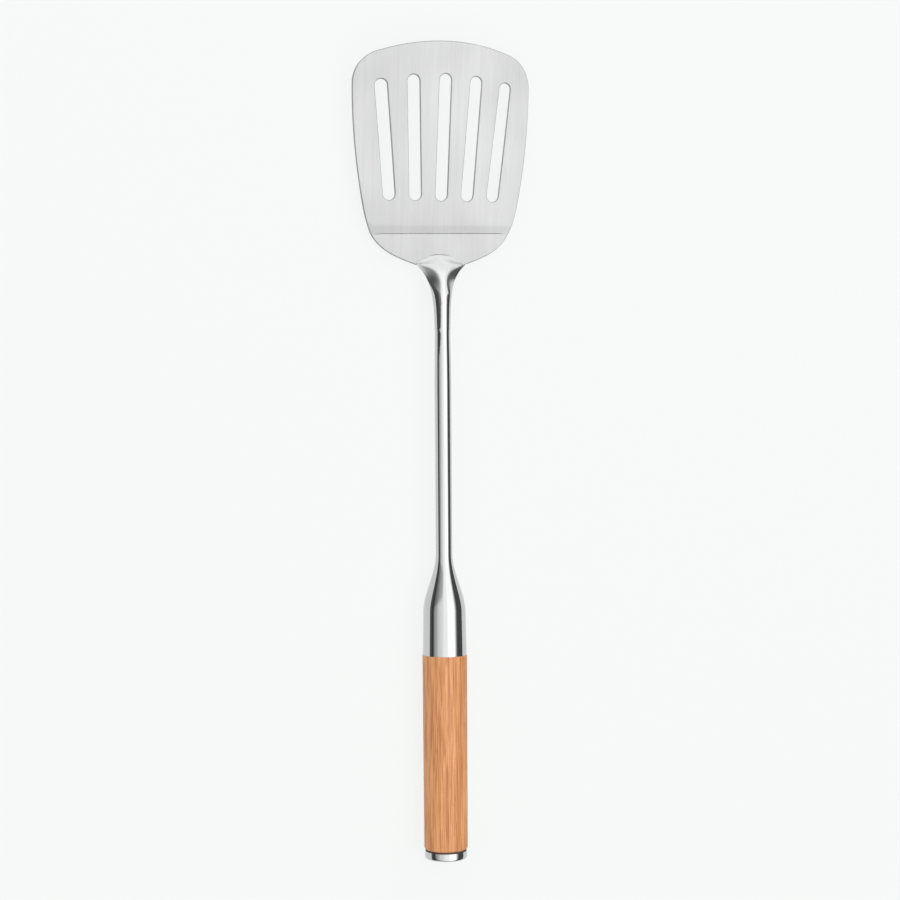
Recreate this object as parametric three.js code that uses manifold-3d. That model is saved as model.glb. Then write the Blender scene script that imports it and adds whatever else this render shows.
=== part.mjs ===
// Slotted spatula. A stamped steel blade is welded to a polished steel shaft, whose rear end carries a
// hollow bolster. A tie rod draws a turned wooden grip up against the bolster, a nut holds it there, and
// an end cap on a thin gasket closes the grip.
//
// Millimetres. The shaft's axis runs level along Y with the blade's tip towards +Y, and Z is up. The
// spatula lies food side up with its grip on the plane Z = 0, and the origin is on that plane under the
// middle of its length. Inside the model the crease of the blade is at Y = 0 and the axis at Z = 0.

import * as THREE from 'three';
import * as BufferGeometryUtils from 'three/addons/utils/BufferGeometryUtils.js';
import Module from 'manifold-3d';

// Blade sheet, in plan from the crease
const sheetGauge = 1.5;
const bladeReach = 87.6;
const bladeWidth = 85.5;
const widestReach = 67.9;
const tipRadius = 109.7;
const sideRadius = 289;
const cornerRadius = 14.9;
const bladePitchDegrees = 9;
const bladeArch = 8.6;
const heelBand = 3.3;
const heelBend = 3;
const heelKick = 1.1;
const heelDrop = 3.7;

// Drain slots
const slotCount = 5;
const slotWidth = 5.75;
const sideLand = 9.9;
const frontLand = 14.7;
const heelLand = 15.2;
const fanReach = 243;
const slotFrontRadius = 169;

// Neck plate behind the crease, and its tail under the shaft
const shoulderStart = 14;
const shoulderUpperPull = 17.2;
const shoulderLowerPull = 20.2;
const shoulderDegrees = 18;
const neckReach = 14.4;
const tailOverlap = 9.1;
const tailInset = 0.6;

// Shaft, with the flared tongue that is welded on the neck plate
const shaftDiameter = 7.8;
const neckDiameter = 7.2;
const shaftReach = 149.8;
const taperRun = 24;
const tongueWidth = 24.2;
const tongueLength = 4.5;
const lipThickness = 0.5;
const noseRun = 22;
const flareRun = 30.6;
const flareDecay = 7.1;
const spigotDiameter = 5.6;
const spigotLength = 17;
const spigotChamfer = 0.5;
const weldGap = 0.3;

// Bolster and the threaded plug that closes its mouth
const bolsterLength = 47.3;
const bolsterShoulderDiameter = 20;
const bolsterShoulderRun = 27.5;
const bolsterMouthDiameter = 20.7;
const bolsterWall = 1.4;
const bolsterMouthWall = 0.9;
const collarDepth = 14;
const plugThickness = 8;

// Wooden grip
const gripLength = 92;
const gripFrontDiameter = 21;
const gripRearDiameter = 20.5;
const gripFrontRounding = 0.3;
const gripRearRounding = 1.1;

// Tie rod and what clamps the grip
const tieRodDiameter = 5;
const tieRodStandout = 2;
const tieRodChamfer = 0.6;
const washerDiameter = 12;
const washerThickness = 1.2;
const nutAcrossFlats = 8;
const nutHeight = 4;

// Gasket and end cap
const gasketThickness = 0.6;
const gasketInset = 0.7;
const gasketWidth = 2.4;
const capDiameter = 20;
const capHeight = 3.7;
const capFloor = 1.7;
const capRounding = 0.9;
const capBossLength = 3.6;

// Clearances, radial and end to end
const fitClearance = 0.1;
const threadClearance = 0.12;
const boreClearance = 0.3;
const endClearance = 0.5;

// Fineness of curves and of the sheet's surface
const roundSegments = 32;
const arcSegments = 10;
const edgeSegments = 4;
const sheetColumns = 16;
const sheetRows = 8;
const flareStations = 12;
const bottleStations = 12;
const tolerance = 0.001;

// Heights and slopes that follow from the sizes above
const axisHeight = gripFrontDiameter / 2;
const heelTop = -heelDrop;
const tailReach = neckReach + tailOverlap;
const tonguePlane = heelTop + weldGap;
const kickSlope = heelKick / heelBand;
const bladeSlope = Math.tan(THREE.MathUtils.degToRad(bladePitchDegrees));
const bladeHalf = bladeWidth / 2;
const tongueHalf = tongueWidth / 2;
const gripFront = -shaftReach - bolsterLength;
const gripRear = gripFront - gripLength;
const capEnd = gripRear - gasketThickness - capHeight;
const tieRodRadius = tieRodDiameter / 2;
const threadedRadius = tieRodRadius + threadClearance;
const counterboreRadius = washerDiameter / 2 + boreClearance;
const counterboreDepth = washerThickness + nutHeight + endClearance + capBossLength;

const wasm = await Module();
wasm.setup();

// Turns a closed geometry into a solid that can be joined and cut
function toSolid(geometry) {
  geometry.deleteAttribute('normal');
  geometry.deleteAttribute('uv');
  const merged = BufferGeometryUtils.mergeVertices(geometry);
  const vertProperties = new Float32Array(merged.getAttribute('position').array);
  const triVerts = new Uint32Array(merged.getIndex().array);
  return new wasm.Manifold(new wasm.Mesh({ numProp: 3, vertProperties, triVerts }));
}

function toGeometry(solid) {
  const mesh = solid.getMesh();
  const geometry = new THREE.BufferGeometry();
  geometry.setAttribute('position', new THREE.BufferAttribute(mesh.vertProperties, 3));
  geometry.setIndex(new THREE.BufferAttribute(mesh.triVerts, 1));
  geometry.computeVertexNormals();
  return geometry;
}

function indexedGeometry(points, triangles) {
  const geometry = new THREE.BufferGeometry();
  geometry.setFromPoints(points);
  geometry.setIndex(triangles);
  return geometry;
}

function smoothStep(value, from, to) {
  return THREE.MathUtils.smoothstep(value, from, to);
}

function mix(from, to, share) {
  return THREE.MathUtils.lerp(from, to, share);
}

// Materials, one for each piece
function steel(roughness) {
  return new THREE.MeshStandardMaterial({ color: 0xc9cbcc, roughness, metalness: 1 });
}

function timber() {
  return new THREE.MeshStandardMaterial({ color: 0xd0925c, roughness: 0.55, metalness: 0 });
}

function fibre() {
  return new THREE.MeshStandardMaterial({ color: 0x2b2826, roughness: 0.8, metalness: 0 });
}

function piece(name, geometry, material) {
  const mesh = new THREE.Mesh(geometry, material);
  mesh.name = name;
  return mesh;
}

// How far a place has left the steep heel band, eased over the bend
function bladeClimb(y) {
  const run = Math.max(y - heelBand, 0);
  const bent = Math.min(run, heelBend);
  return run - bent + bent * bent / (2 * heelBend);
}

// Height of the sheet's upper face: the neck plate is level, the heel band kicks up from the crease, and
// the blade leaves it at a gentler slope and is arched across its width, more so towards the tip
function sheetTop(x, y) {
  const run = Math.max(y, 0);
  const climb = bladeClimb(run);
  const droop = bladeArch * climb / bladeClimb(bladeReach) * (x / bladeHalf) ** 2;
  return heelTop + kickSlope * (run - climb) + bladeSlope * climb - droop;
}

// The formed sheet before it is trimmed to its outline
function formedSheet() {
  const margin = sheetGauge;
  const bladeStart = heelBand + heelBend;
  const rows = [-tailReach - margin, 0, heelBand, heelBand + heelBend / 2];
  for (let i = 0; i <= sheetRows; i += 1) {
    rows.push(mix(bladeStart, bladeReach + margin, i / sheetRows));
  }
  const points = [];
  for (const drop of [0, sheetGauge]) {
    for (const y of rows) {
      for (let i = 0; i <= sheetColumns; i += 1) {
        const x = mix(-bladeHalf - margin, bladeHalf + margin, i / sheetColumns);
        points.push(new THREE.Vector3(x, y, sheetTop(x, y) - drop));
      }
    }
  }
  const width = sheetColumns + 1;
  const layer = width * rows.length;
  const triangles = [];
  const quad = (a, b, c, d) => triangles.push(a, b, c, a, c, d);
  for (let row = 0; row < rows.length - 1; row += 1) {
    for (let column = 0; column < sheetColumns; column += 1) {
      const a = row * width + column;
      quad(a, a + 1, a + width + 1, a + width);
      quad(layer + a, layer + a + width, layer + a + width + 1, layer + a + 1);
    }
    const left = row * width;
    const right = left + sheetColumns;
    quad(left, left + width, layer + left + width, layer + left);
    quad(right, layer + right, layer + right + width, right + width);
  }
  const last = layer - width;
  for (let column = 0; column < sheetColumns; column += 1) {
    quad(column, layer + column, layer + column + 1, column + 1);
    quad(last + column, last + column + 1, layer + last + column + 1, layer + last + column);
  }
  return toSolid(indexedGeometry(points, triangles));
}

// Half width of the flare where the shaft widens into its tongue
function flareHalf(y) {
  const distance = -neckReach - y;
  return neckDiameter / 2 + (tongueHalf - neckDiameter / 2) * Math.exp(-distance / flareDecay);
}

// Centre of an arc of a set radius that rounds the corner where two larger arcs meet
function cornerCentre(first, firstRadius, second, secondRadius, radius) {
  const a = firstRadius - radius;
  const b = secondRadius - radius;
  const line = second.clone().sub(first);
  const distance = line.length();
  const along = (a * a - b * b + distance * distance) / (2 * distance);
  const across = Math.sqrt(a * a - along * along);
  line.normalize();
  const square = new THREE.Vector2(line.y, -line.x);
  return first.clone().addScaledVector(line, along).addScaledVector(square, across);
}

// Right half of the sheet's outline in plan, from the tip's middle round to the tail's end
function outlineHalf() {
  const tipCentre = new THREE.Vector2(0, bladeReach - tipRadius);
  const sideCentre = new THREE.Vector2(bladeHalf - sideRadius, widestReach);
  const corner = cornerCentre(tipCentre, tipRadius, sideCentre, sideRadius, cornerRadius);
  const tipAngle = Math.atan2(corner.y - tipCentre.y, corner.x - tipCentre.x);
  const sideAngle = Math.atan2(corner.y - sideCentre.y, corner.x - sideCentre.x);
  const shoulderAngle = Math.asin((shoulderStart - widestReach) / sideRadius);
  const half = new THREE.Path();
  half.absarc(tipCentre.x, tipCentre.y, tipRadius, Math.PI / 2, tipAngle, true);
  half.absarc(corner.x, corner.y, cornerRadius, tipAngle, sideAngle, true);
  half.absarc(sideCentre.x, sideCentre.y, sideRadius, sideAngle, shoulderAngle, true);
  const top = half.currentPoint.clone();
  const upper = new THREE.Vector2(Math.sin(shoulderAngle), -Math.cos(shoulderAngle));
  const slant = THREE.MathUtils.degToRad(shoulderDegrees);
  const lower = new THREE.Vector2(Math.cos(slant), Math.sin(slant));
  const root = new THREE.Vector2(tongueHalf - tailInset, -neckReach);
  const first = top.addScaledVector(upper, shoulderUpperPull);
  const second = root.clone().addScaledVector(lower, shoulderLowerPull);
  half.bezierCurveTo(first.x, first.y, second.x, second.y, root.x, root.y);
  const points = half.getPoints(arcSegments);
  for (let i = 1; i <= edgeSegments; i += 1) {
    const y = mix(-neckReach, -tailReach, i / edgeSegments);
    points.push(new THREE.Vector2(flareHalf(y) - tailInset, y));
  }
  return points.filter((point, i) => i === 0 || point.distanceTo(points[i - 1]) > tolerance);
}

// A plan outline carried straight up and down through the whole sheet
function planCutter(shape) {
  const depth = 4 * axisHeight + 2 * bladeReach * bladeSlope;
  const geometry = new THREE.ExtrudeGeometry(shape, { depth, bevelEnabled: false, curveSegments: arcSegments });
  geometry.translate(0, 0, -depth / 2);
  return geometry;
}

// One drain slot with round ends; its centre line runs from the fan's centre behind the crease
function slotCutter(index) {
  const side = index - (slotCount - 1) / 2;
  const pitch = slotCount > 1 ? (bladeWidth - 2 * sideLand - slotWidth) / (slotCount - 1) : 0;
  const radius = slotWidth / 2;
  const slant = Math.atan2(side * pitch, fanReach + widestReach);
  const front = bladeReach - frontLand;
  const frontX = Math.tan(slant) * (fanReach + front);
  const frontY = front + Math.sqrt(slotFrontRadius ** 2 - frontX ** 2) - slotFrontRadius - radius;
  const rearY = heelLand + radius;
  const rear = (fanReach + rearY) / Math.cos(slant);
  const far = (fanReach + frontY) / Math.cos(slant);
  const shape = new THREE.Shape();
  shape.absarc(0, far, radius, 0, Math.PI, false);
  shape.absarc(0, rear, radius, Math.PI, 2 * Math.PI, false);
  const geometry = planCutter(shape);
  geometry.rotateZ(-slant);
  geometry.translate(0, -fanReach, 0);
  return geometry;
}

// Slotted blade, heel and neck plate, stamped from one sheet
function bladeGeometry() {
  const right = outlineHalf();
  const left = right.slice(1).reverse().map((point) => new THREE.Vector2(-point.x, point.y));
  const outline = new THREE.Shape([...right, ...left]);
  let sheet = formedSheet().intersect(toSolid(planCutter(outline)));
  for (let i = 0; i < slotCount; i += 1) {
    sheet = sheet.subtract(toSolid(slotCutter(i)));
  }
  return toGeometry(sheet);
}

// A closed ring across the shaft: a back above its widest line and half an ellipse below; the back is
// half an ellipse where flatness is 2 and steepness a half, and a hill with a broad top where they grow
function ring(y, halfWidth, top, middle, bottom, flatness, steepness) {
  const points = [];
  for (let i = 0; i < roundSegments; i += 1) {
    const angle = 2 * Math.PI * i / roundSegments;
    const across = Math.cos(angle);
    const rise = Math.sin(angle);
    const hill = Math.max(1 - Math.abs(across) ** flatness, 0) ** steepness;
    const height = rise > 0 ? (top - middle) * hill : (middle - bottom) * rise;
    points.push(new THREE.Vector3(halfWidth * across, y, middle + height));
  }
  return points;
}

function roundRing(y, radius) {
  return ring(y, radius, radius, 0, -radius, 2, 0.5);
}

// A solid skinned over rings that run from the rear to the front
function loft(rings) {
  const points = rings.flat();
  const triangles = [];
  const count = roundSegments;
  for (let row = 0; row < rings.length - 1; row += 1) {
    for (let i = 0; i < count; i += 1) {
      const next = (i + 1) % count;
      const a = row * count + i;
      const b = row * count + next;
      triangles.push(a, a + count, b, b, a + count, b + count);
    }
  }
  const last = (rings.length - 1) * count;
  for (let i = 1; i < count - 1; i += 1) {
    triangles.push(0, i, i + 1);
    triangles.push(last, last + i + 1, last + i);
  }
  return indexedGeometry(points, triangles);
}

// Height of the shaft's back, which falls in a bow from the round neck to the lip on the neck plate
function backHeight(y) {
  const radius = neckDiameter / 2;
  const lip = -neckReach + tongueLength;
  const share = Math.max((y - lip) / noseRun + 1, 0);
  return mix(radius, tonguePlane + lipThickness, share ** 2);
}

// Ring of the flare: the round neck spreads into a hill that stands on the neck plate
function flareRing(y) {
  const radius = neckDiameter / 2;
  const flareStart = -neckReach - flareRun;
  const share = smoothStep(y, flareStart, -tailReach);
  const middle = tonguePlane * ((y - flareStart) / (flareRun + tongueLength)) ** 2;
  const bottom = mix(-radius, tonguePlane, share);
  const flatness = mix(2, 4, smoothStep(y, -tailReach, -neckReach));
  return ring(y, flareHalf(y), backHeight(y), middle, bottom, flatness, mix(0.5, 1, share));
}

// Shaft: a rear spigot for the bolster, the round rod, its neck, the flare and the welded tongue
function shaftGeometry() {
  const radius = shaftDiameter / 2;
  const spigot = spigotDiameter / 2;
  const spigotEnd = -shaftReach - spigotLength;
  const flareStart = -neckReach - flareRun;
  const taperStart = flareStart - taperRun;
  const rings = [
    roundRing(spigotEnd, spigot - spigotChamfer),
    roundRing(spigotEnd + spigotChamfer, spigot),
    roundRing(-shaftReach, spigot),
    roundRing(-shaftReach, radius),
  ];
  for (let i = 0; i < edgeSegments; i += 1) {
    const y = mix(taperStart, flareStart, i / edgeSegments);
    rings.push(roundRing(y, mix(radius, neckDiameter / 2, smoothStep(y, taperStart, flareStart))));
  }
  for (let i = 0; i <= flareStations; i += 1) {
    const y = mix(flareStart, -neckReach, Math.sqrt(i / flareStations));
    rings.push(flareRing(y));
  }
  for (let i = 1; i <= edgeSegments; i += 1) {
    const share = 1 - i / (edgeSegments + 1);
    const y = mix(-neckReach + tongueLength, -neckReach, share ** 2);
    rings.push(ring(y, tongueHalf * share, backHeight(y), tonguePlane, tonguePlane, 2, mix(1.5, 1, share)));
  }
  return loft(rings);
}

// A piece turned about the shaft's axis; the profile runs forwards on its outer side
function turned(profile) {
  const points = profile.map(([radius, y]) => new THREE.Vector2(radius, y));
  return new THREE.LatheGeometry(points, roundSegments);
}

function turnedRing(profile) {
  return turned([...profile, profile[0]]);
}

// A rounded edge of a turned piece, as points of a quarter circle
function roundedEdge(radius, y, rounding, startDegrees) {
  const points = [];
  for (let i = 0; i <= edgeSegments; i += 1) {
    const angle = THREE.MathUtils.degToRad(startDegrees + 90 * i / edgeSegments);
    points.push([radius + rounding * Math.cos(angle), y + rounding * Math.sin(angle)]);
  }
  return points;
}

// Outer radius of the bottle-shaped bolster at a distance behind its front end
function bottleRadius(distance) {
  const front = shaftDiameter / 2;
  const shoulder = bolsterShoulderDiameter / 2;
  const share = smoothStep(distance, 0, bolsterShoulderRun);
  const taper = Math.max(distance - bolsterShoulderRun, 0) / (bolsterLength - bolsterShoulderRun);
  return mix(front, shoulder, share) + taper * (bolsterMouthDiameter - bolsterShoulderDiameter) / 2;
}

// Bolster: a hollow shell with a collar bore for the shaft's spigot and a seat for the plug at its mouth
function bolsterGeometry() {
  const collar = spigotDiameter / 2 + fitClearance;
  const seat = bolsterMouthDiameter / 2 - bolsterMouthWall;
  const seatDepth = bolsterLength - plugThickness;
  const outside = [];
  const inside = [];
  for (let i = 0; i <= bottleStations; i += 1) {
    const distance = bolsterShoulderRun * i / bottleStations;
    outside.unshift([bottleRadius(distance), -shaftReach - distance]);
    if (distance > collarDepth) {
      inside.push([bottleRadius(distance) - bolsterWall, -shaftReach - distance]);
    }
  }
  return turnedRing([
    [bolsterMouthDiameter / 2, gripFront],
    ...outside,
    [collar, -shaftReach],
    [collar, -shaftReach - collarDepth],
    [bottleRadius(collarDepth) - bolsterWall, -shaftReach - collarDepth],
    ...inside,
    [bottleRadius(seatDepth) - bolsterWall, -shaftReach - seatDepth],
    [seat, -shaftReach - seatDepth],
    [seat, gripFront],
  ]);
}

// Plug: a thick disc, welded in the bolster's mouth and threaded for the tie rod
function plugGeometry() {
  const radius = bolsterMouthDiameter / 2 - bolsterMouthWall - fitClearance;
  return turnedRing([
    [radius, gripFront],
    [radius, gripFront + plugThickness],
    [threadedRadius, gripFront + plugThickness],
    [threadedRadius, gripFront],
  ]);
}

// Grip: turned wood, bored through for the tie rod and counterbored at its rear for the nut
function gripGeometry() {
  const bore = tieRodRadius + boreClearance;
  const front = gripFrontDiameter / 2 - gripFrontRounding;
  const rear = gripRearDiameter / 2 - gripRearRounding;
  return turnedRing([
    ...roundedEdge(rear, gripRear + gripRearRounding, gripRearRounding, -90),
    ...roundedEdge(front, gripFront - gripFrontRounding, gripFrontRounding, 0),
    [bore, gripFront],
    [bore, gripRear + counterboreDepth],
    [counterboreRadius, gripRear + counterboreDepth],
    [counterboreRadius, gripRear],
  ]);
}

// Tie rod: a threaded stud from the plug through the grip and the nut into the cap
function tieRodGeometry() {
  const front = gripFront + plugThickness + tieRodStandout;
  const rear = capEnd + capFloor + endClearance;
  const tip = tieRodRadius - tieRodChamfer;
  return turned([
    [0, rear],
    [tip, rear],
    [tieRodRadius, rear + tieRodChamfer],
    [tieRodRadius, front - tieRodChamfer],
    [tip, front],
    [0, front],
  ]);
}

// Washer on the floor of the counterbore
function washerGeometry() {
  const front = gripRear + counterboreDepth;
  const bore = tieRodRadius + boreClearance;
  return turnedRing([
    [washerDiameter / 2, front - washerThickness],
    [washerDiameter / 2, front],
    [bore, front],
    [bore, front - washerThickness],
  ]);
}

// Hexagon nut that draws the grip up against the bolster
function nutGeometry() {
  const corner = nutAcrossFlats / Math.sqrt(3);
  const shape = new THREE.Shape();
  for (let i = 0; i < 6; i += 1) {
    const angle = Math.PI / 3 * i;
    const place = [corner * Math.cos(angle), corner * Math.sin(angle)];
    if (i === 0) {
      shape.moveTo(...place);
    } else {
      shape.lineTo(...place);
    }
  }
  const hole = new THREE.Path();
  hole.absarc(0, 0, threadedRadius, 0, 2 * Math.PI, true);
  shape.holes.push(hole);
  const options = { depth: nutHeight, bevelEnabled: false, curveSegments: roundSegments };
  const geometry = new THREE.ExtrudeGeometry(shape, options);
  geometry.rotateX(-Math.PI / 2);
  geometry.translate(0, gripRear + counterboreDepth - washerThickness - nutHeight, 0);
  return geometry;
}

// Gasket: a thin fibre ring, set back from the edge, that shows as a dark line above the cap
function gasketGeometry() {
  const radius = capDiameter / 2 - gasketInset;
  return turnedRing([
    [radius, gripRear - gasketThickness],
    [radius, gripRear],
    [radius - gasketWidth, gripRear],
    [radius - gasketWidth, gripRear - gasketThickness],
  ]);
}

// End cap: a polished disc with a boss that enters the counterbore and is threaded for the tie rod
function capGeometry() {
  const radius = capDiameter / 2;
  const boss = counterboreRadius - boreClearance;
  const face = gripRear - gasketThickness;
  const bossFront = gripRear + capBossLength;
  return turned([
    [0, capEnd],
    ...roundedEdge(radius - capRounding, capEnd + capRounding, capRounding, -90),
    [radius, face],
    [boss, face],
    [boss, bossFront],
    [threadedRadius, bossFront],
    [threadedRadius, capEnd + capFloor],
    [0, capEnd + capFloor],
  ]);
}

// The blade and the shaft are welded together
const head = new THREE.Group();
head.add(piece('blade', bladeGeometry(), steel(0.36)));
head.add(piece('shaft', shaftGeometry(), steel(0.12)));

// The handle is built up on the shaft's spigot and the tie rod
const handle = new THREE.Group();
handle.add(piece('bolster', bolsterGeometry(), steel(0.12)));
handle.add(piece('bolster_plug', plugGeometry(), steel(0.45)));
handle.add(piece('tie_rod', tieRodGeometry(), steel(0.45)));
handle.add(piece('wooden_grip', gripGeometry(), timber()));
handle.add(piece('clamp_washer', washerGeometry(), steel(0.45)));
handle.add(piece('clamp_nut', nutGeometry(), steel(0.4)));
handle.add(piece('cap_gasket', gasketGeometry(), fibre()));
handle.add(piece('end_cap', capGeometry(), steel(0.1)));

const spatula = new THREE.Group();
spatula.add(head);
spatula.add(handle);
spatula.position.set(0, -(bladeReach + capEnd) / 2, axisHeight);

export default spatula;
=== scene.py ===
import math
import bmesh
import bpy
import numpy as np
from mathutils import Matrix, Vector, kdtree
from mathutils.geometry import delaunay_2d_cdt


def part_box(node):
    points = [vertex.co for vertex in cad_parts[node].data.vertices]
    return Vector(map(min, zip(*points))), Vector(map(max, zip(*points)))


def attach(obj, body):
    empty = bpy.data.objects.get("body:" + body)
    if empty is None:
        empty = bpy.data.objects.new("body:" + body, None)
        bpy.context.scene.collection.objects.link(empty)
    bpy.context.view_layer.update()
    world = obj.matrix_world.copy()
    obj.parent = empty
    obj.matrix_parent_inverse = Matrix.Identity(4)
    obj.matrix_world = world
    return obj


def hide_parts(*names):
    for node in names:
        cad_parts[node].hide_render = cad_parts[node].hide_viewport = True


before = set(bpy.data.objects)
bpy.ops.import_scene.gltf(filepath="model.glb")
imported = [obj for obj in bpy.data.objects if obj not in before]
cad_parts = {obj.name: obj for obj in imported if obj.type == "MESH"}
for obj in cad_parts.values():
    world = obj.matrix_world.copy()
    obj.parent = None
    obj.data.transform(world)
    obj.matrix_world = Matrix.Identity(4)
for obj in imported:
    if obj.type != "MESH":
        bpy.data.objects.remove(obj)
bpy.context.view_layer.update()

# ---------------------------------------------------------------------------------------------------------
# Drain slots. One stroke of a fan-shaped tool punches five round-ended slots through the flat steel blank.
# Their centre lines spread from a point far behind the heel, and their front ends follow a flat arc.
# Lengths are in millimetres from the crease, where the blade meets the neck, until a mesh is placed.
mm = 0.001
blade_reach = 87.6
blade_width = 85.5
widest_reach = 67.9
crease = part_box("blade")[1].y / mm - blade_reach
axis = (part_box("wooden_grip")[0].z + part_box("wooden_grip")[1].z) / 2 / mm
slot_count = 5
slot_width = 5.75
side_land = 9.9
front_land = 14.7


class Quantity:
    """A number that a node tree works out, written with the usual signs of arithmetic."""

    def __init__(self, tree, socket):
        self.tree = tree
        self.socket = socket

    def work(self, operation, *terms):
        node = self.tree.nodes.new("ShaderNodeMath")
        node.operation = operation
        for entry, term in zip(node.inputs, terms):
            if isinstance(term, Quantity):
                self.tree.links.new(term.socket, entry)
            else:
                entry.default_value = term
        return Quantity(self.tree, node.outputs[0])

    def __add__(self, other):
        return self.work("ADD", self, other)

    def __sub__(self, other):
        return self.work("SUBTRACT", self, other)

    def __rsub__(self, other):
        return self.work("SUBTRACT", other, self)

    def __mul__(self, other):
        return self.work("MULTIPLY", self, other)

    def __truediv__(self, other):
        return self.work("DIVIDE", self, other)

    def apply(self, operation):
        return self.work(operation, self)

    def at_least(self, other):
        return self.work("MAXIMUM", self, other)

    def at_most(self, other):
        return self.work("MINIMUM", self, other)

    def rise(self, start, end):
        """Climbs smoothly from 0 at start to 1 at end."""
        share = ((self - start) / (end - start)).at_least(0.0).at_most(1.0)
        return share * share * (3.0 - share * 2.0)


def connect(tree, node, inputs):
    """Gives each named input of a node a value, a quantity or another node's output."""
    for name, value in inputs.items():
        source = value.socket if isinstance(value, Quantity) else value
        if isinstance(source, bpy.types.NodeSocket):
            tree.links.new(source, node.inputs[name])
        else:
            node.inputs[name].default_value = source


def add_node(tree, kind, inputs=None, **options):
    """Adds a node with its options and its inputs."""
    node = tree.nodes.new(kind)
    for name, value in options.items():
        setattr(node, name, value)
    connect(tree, node, inputs or {})
    return node


def parts_of(tree, vector):
    """The three parts of a vector as quantities."""
    apart = add_node(tree, "ShaderNodeSeparateXYZ", {"Vector": vector})
    return [Quantity(tree, part) for part in apart.outputs]


def point_place(tree):
    """Where each point of the mesh lies that a geometry tree works on."""
    return parts_of(tree, add_node(tree, "GeometryNodeInputPosition").outputs[0])


def tree_with_sizes(name, sizes):
    """A geometry tree whose named inputs are the sizes of a piece, and those inputs as quantities."""
    tree = bpy.data.node_groups.new(name, "GeometryNodeTree")
    tree.interface.new_socket("Geometry", in_out="INPUT", socket_type="NodeSocketGeometry")
    tree.interface.new_socket("Geometry", in_out="OUTPUT", socket_type="NodeSocketGeometry")
    for label, size in sizes.items():
        kind = "NodeSocketInt" if isinstance(size, int) else "NodeSocketFloat"
        tree.interface.new_socket(label, in_out="INPUT", socket_type=kind)
    entries = tree.nodes.new("NodeGroupInput").outputs
    return tree, entries["Geometry"], {label: Quantity(tree, entries[label]) for label in sizes}


def end_tree(tree, geometry, material=None):
    """Ends a geometry tree in one plain mesh with its material."""
    whole = add_node(tree, "GeometryNodeRealizeInstances", {"Geometry": geometry})
    dressed = add_node(tree, "GeometryNodeSetMaterial", {"Geometry": whole.outputs[0], "Material": material})
    add_node(tree, "NodeGroupOutput", {"Geometry": dressed.outputs[0]})


def worked(name, blank, tree, sizes):
    """Runs a geometry tree with its sizes over a blank, and leaves the finished mesh in an object."""
    piece = bpy.data.objects.new(name, blank)
    bpy.context.scene.collection.objects.link(piece)
    modifier = piece.modifiers.new(name, "NODES")
    modifier.node_group = tree
    for entry in tree.interface.items_tree:
        if entry.in_out == "INPUT" and entry.name in sizes:
            modifier[entry.identifier] = sizes[entry.name]
    whole = piece.evaluated_get(bpy.context.evaluated_depsgraph_get())
    finished = bpy.data.meshes.new_from_object(whole)
    piece.modifiers.clear()
    piece.data = finished
    return piece


slot_sizes = {
    "Slots": slot_count,
    "Slot Radius": slot_width / 2,
    "Slot Pitch": (blade_width - 2 * side_land - slot_width) / (slot_count - 1),
    "Punch Corners": 49,
    "Widest Reach": widest_reach,
    "Fan Reach": 243.0,
    "Front Line": blade_reach - front_land,
    "Front Radius": 169.0,
    "Heel Line": 15.2,
    "Point Spacing": 0.7,
}
tree, _, size = tree_with_sizes("slot fan", slot_sizes)
stations = add_node(tree, "GeometryNodeMeshLine", {"Count": size["Slots"], "Offset": (0.0, 0.0, 0.0)})
numbered = add_node(tree, "GeometryNodeStoreNamedAttribute", {
    "Geometry": stations.outputs[0],
    "Name": "slot",
    "Value": add_node(tree, "GeometryNodeInputIndex").outputs[0],
})
round_punch = add_node(tree, "GeometryNodeCurvePrimitiveCircle", {
    "Resolution": size["Punch Corners"],
    "Radius": size["Slot Radius"],
})
punches = add_node(tree, "GeometryNodeInstanceOnPoints", {
    "Points": numbered.outputs[0],
    "Instance": round_punch.outputs[0],
})
loose = add_node(tree, "GeometryNodeRealizeInstances", {"Geometry": punches.outputs[0]})
slot_number = Quantity(tree, add_node(tree, "GeometryNodeInputNamedAttribute", {"Name": "slot"}).outputs[0])
across, lengthwise, _ = point_place(tree)
fan = size["Fan Reach"]
side = slot_number - (size["Slots"] - 1.0) * 0.5
slant = across.work("ARCTAN2", side * size["Slot Pitch"], fan + size["Widest Reach"])
front_x = slant.apply("TANGENT") * (fan + size["Front Line"])
front_middle = (size["Front Radius"] * size["Front Radius"] - front_x * front_x).apply("SQRT")
front_drop = size["Front Radius"] - front_middle
front_end = size["Front Line"] - front_drop - size["Slot Radius"]
heel_end = size["Heel Line"] + size["Slot Radius"]
is_front = lengthwise.work("GREATER_THAN", lengthwise, 0.0)
end = heel_end + (front_end - heel_end) * is_front
along = lengthwise + (fan + end) / slant.apply("COSINE")
spread = add_node(tree, "ShaderNodeCombineXYZ", {
    "X": across * slant.apply("COSINE") + along * slant.apply("SINE"),
    "Y": along * slant.apply("COSINE") - across * slant.apply("SINE") - fan,
})
fanned = add_node(tree, "GeometryNodeSetPosition", {
    "Geometry": loose.outputs[0],
    "Position": spread.outputs[0],
})
even = add_node(tree, "GeometryNodeResampleCurve", {
    "Curve": fanned.outputs[0],
    "Length": size["Point Spacing"],
}, mode="LENGTH")
end_tree(tree, add_node(tree, "GeometryNodeCurveToMesh", {"Curve": even.outputs[0]}).outputs[0])
punch_line = worked("slot_fan", bpy.data.meshes.new("slot_fan"), tree, slot_sizes)


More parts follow.
